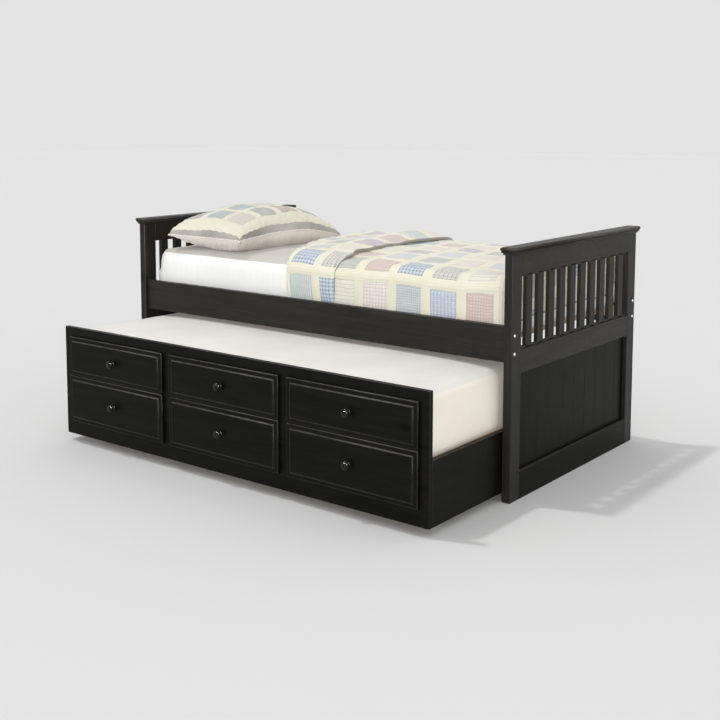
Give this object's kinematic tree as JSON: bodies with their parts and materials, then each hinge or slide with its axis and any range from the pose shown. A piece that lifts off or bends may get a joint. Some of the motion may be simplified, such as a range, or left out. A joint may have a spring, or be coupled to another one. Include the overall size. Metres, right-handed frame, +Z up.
{
  "type": "trundle bed",
  "caption": "Twin bed with slatted end panels and grooved boarding; a wheeled trundle with drawers and its own mattress rolls out below a quilted upper bed.",
  "frame": {"origin": "bottom centre of the object's box as stored, with the trundle part-way out, on the floor", "axes": "+X from the headboard to the footboard, -Y the way the trundle rolls out, +Z up"},
  "size_m": [2.058, 1.6132, 1.0061],
  "materials": {
    "charcoal_wood": "near-black stained pine, satin, with light wear on its edges",
    "bare_wood": "unfinished pine and plywood",
    "black_knob": "gloss black turned wood",
    "white_sheet": "white cotton sheet",
    "mattress_ticking": "off-white knitted ticking",
    "quilt_patchwork": "pastel cotton patchwork, quilted",
    "pillow_patchwork": "pastel cotton patchwork top and ribbed beige underside",
    "steel": "zinc-plated steel",
    "wheel_tread": "hard dark rubber"
  },
  "bodies": {
    "bed_frame": {"headboard_front_post": "charcoal_wood", "headboard_rear_post": "charcoal_wood", "headboard_top_rail": "charcoal_wood", "headboard_mid_rail": "charcoal_wood", "headboard_bottom_rail": "charcoal_wood", "headboard_boarding": "charcoal_wood", "headboard_slats": "charcoal_wood", "headboard_cap": "charcoal_wood", "footboard_front_post": "charcoal_wood", "footboard_rear_post": "charcoal_wood", "footboard_top_rail": "charcoal_wood", "footboard_mid_rail": "charcoal_wood", "footboard_bottom_rail": "charcoal_wood", "footboard_boarding": "charcoal_wood", "footboard_slats": "charcoal_wood", "footboard_cap": "charcoal_wood", "front_side_rail": "charcoal_wood", "front_cleat": "bare_wood", "rear_side_rail": "charcoal_wood", "rear_cleat": "bare_wood", "bed_slat_deck": "bare_wood", "bed_mattress": "white_sheet", "quilt": "quilt_patchwork", "pillow": "pillow_patchwork"},
    "trundle": {"trundle_front": "charcoal_wood", "trundle_left_side": "charcoal_wood", "trundle_right_side": "charcoal_wood", "trundle_left_divider": "bare_wood", "trundle_right_divider": "bare_wood", "trundle_back": "charcoal_wood", "trundle_deck": "bare_wood", "trundle_front_cross_rail": "bare_wood", "trundle_rear_cross_rail": "bare_wood", "trundle_mattress": "mattress_ticking", "false_front_left": "charcoal_wood", "false_knob_left": "black_knob", "false_front_middle": "charcoal_wood", "false_knob_middle": "black_knob", "false_front_right": "charcoal_wood", "false_knob_right": "black_knob", "caster_bracket_front_left": "steel", "caster_bracket_front_right": "steel", "caster_bracket_rear_left": "steel", "caster_bracket_rear_right": "steel"},
    "drawer_left": {"drawer_front_left": "charcoal_wood", "drawer_knob_left": "black_knob", "drawer_box_left": "bare_wood", "drawer_bottom_left": "bare_wood"},
    "drawer_middle": {"drawer_front_middle": "charcoal_wood", "drawer_knob_middle": "black_knob", "drawer_box_middle": "bare_wood", "drawer_bottom_middle": "bare_wood"},
    "drawer_right": {"drawer_front_right": "charcoal_wood", "drawer_knob_right": "black_knob", "drawer_box_right": "bare_wood", "drawer_bottom_right": "bare_wood"},
    "wheel_front_left": {"caster_wheel_front_left": "wheel_tread"},
    "wheel_front_right": {"caster_wheel_front_right": "wheel_tread"},
    "wheel_rear_left": {"caster_wheel_rear_left": "wheel_tread"},
    "wheel_rear_right": {"caster_wheel_rear_right": "wheel_tread"}
  },
  "joints": [
    {"name": "trundle_slide", "type": "slide", "parent": "bed_frame", "child": "trundle", "axis": [0, -1, 0], "range_m": [-0.478, 0.557]},
    {"name": "drawer_left_slide", "type": "slide", "parent": "trundle", "child": "drawer_left", "axis": [0, -1, 0], "range_m": [0, 0.36]},
    {"name": "drawer_middle_slide", "type": "slide", "parent": "trundle", "child": "drawer_middle", "axis": [0, -1, 0], "range_m": [0, 0.36]},
    {"name": "drawer_right_slide", "type": "slide", "parent": "trundle", "child": "drawer_right", "axis": [0, -1, 0], "range_m": [0, 0.36]},
    {"name": "wheel_front_left_spin", "type": "hinge", "parent": "trundle", "child": "wheel_front_left", "pos_m": [-0.9, -0.67995, 0.025], "axis": [1, 0, 0], "range_deg": [-1100, 1280]},
    {"name": "wheel_front_right_spin", "type": "hinge", "parent": "trundle", "child": "wheel_front_right", "pos_m": [0.9, -0.67995, 0.025], "axis": [1, 0, 0], "range_deg": [-1100, 1280]},
    {"name": "wheel_rear_left_spin", "type": "hinge", "parent": "trundle", "child": "wheel_rear_left", "pos_m": [-0.9, 0.17405, 0.025], "axis": [1, 0, 0], "range_deg": [-1100, 1280]},
    {"name": "wheel_rear_right_spin", "type": "hinge", "parent": "trundle", "child": "wheel_rear_right", "pos_m": [0.9, 0.17405, 0.025], "axis": [1, 0, 0], "range_deg": [-1100, 1280]}
  ],
  "couplings": [
    {"joint": "wheel_front_left_spin", "follows": "trundle_slide", "rad_per_m": 40},
    {"joint": "wheel_front_right_spin", "follows": "trundle_slide", "rad_per_m": 40},
    {"joint": "wheel_rear_left_spin", "follows": "trundle_slide", "rad_per_m": 40},
    {"joint": "wheel_rear_right_spin", "follows": "trundle_slide", "rad_per_m": 40}
  ]
}
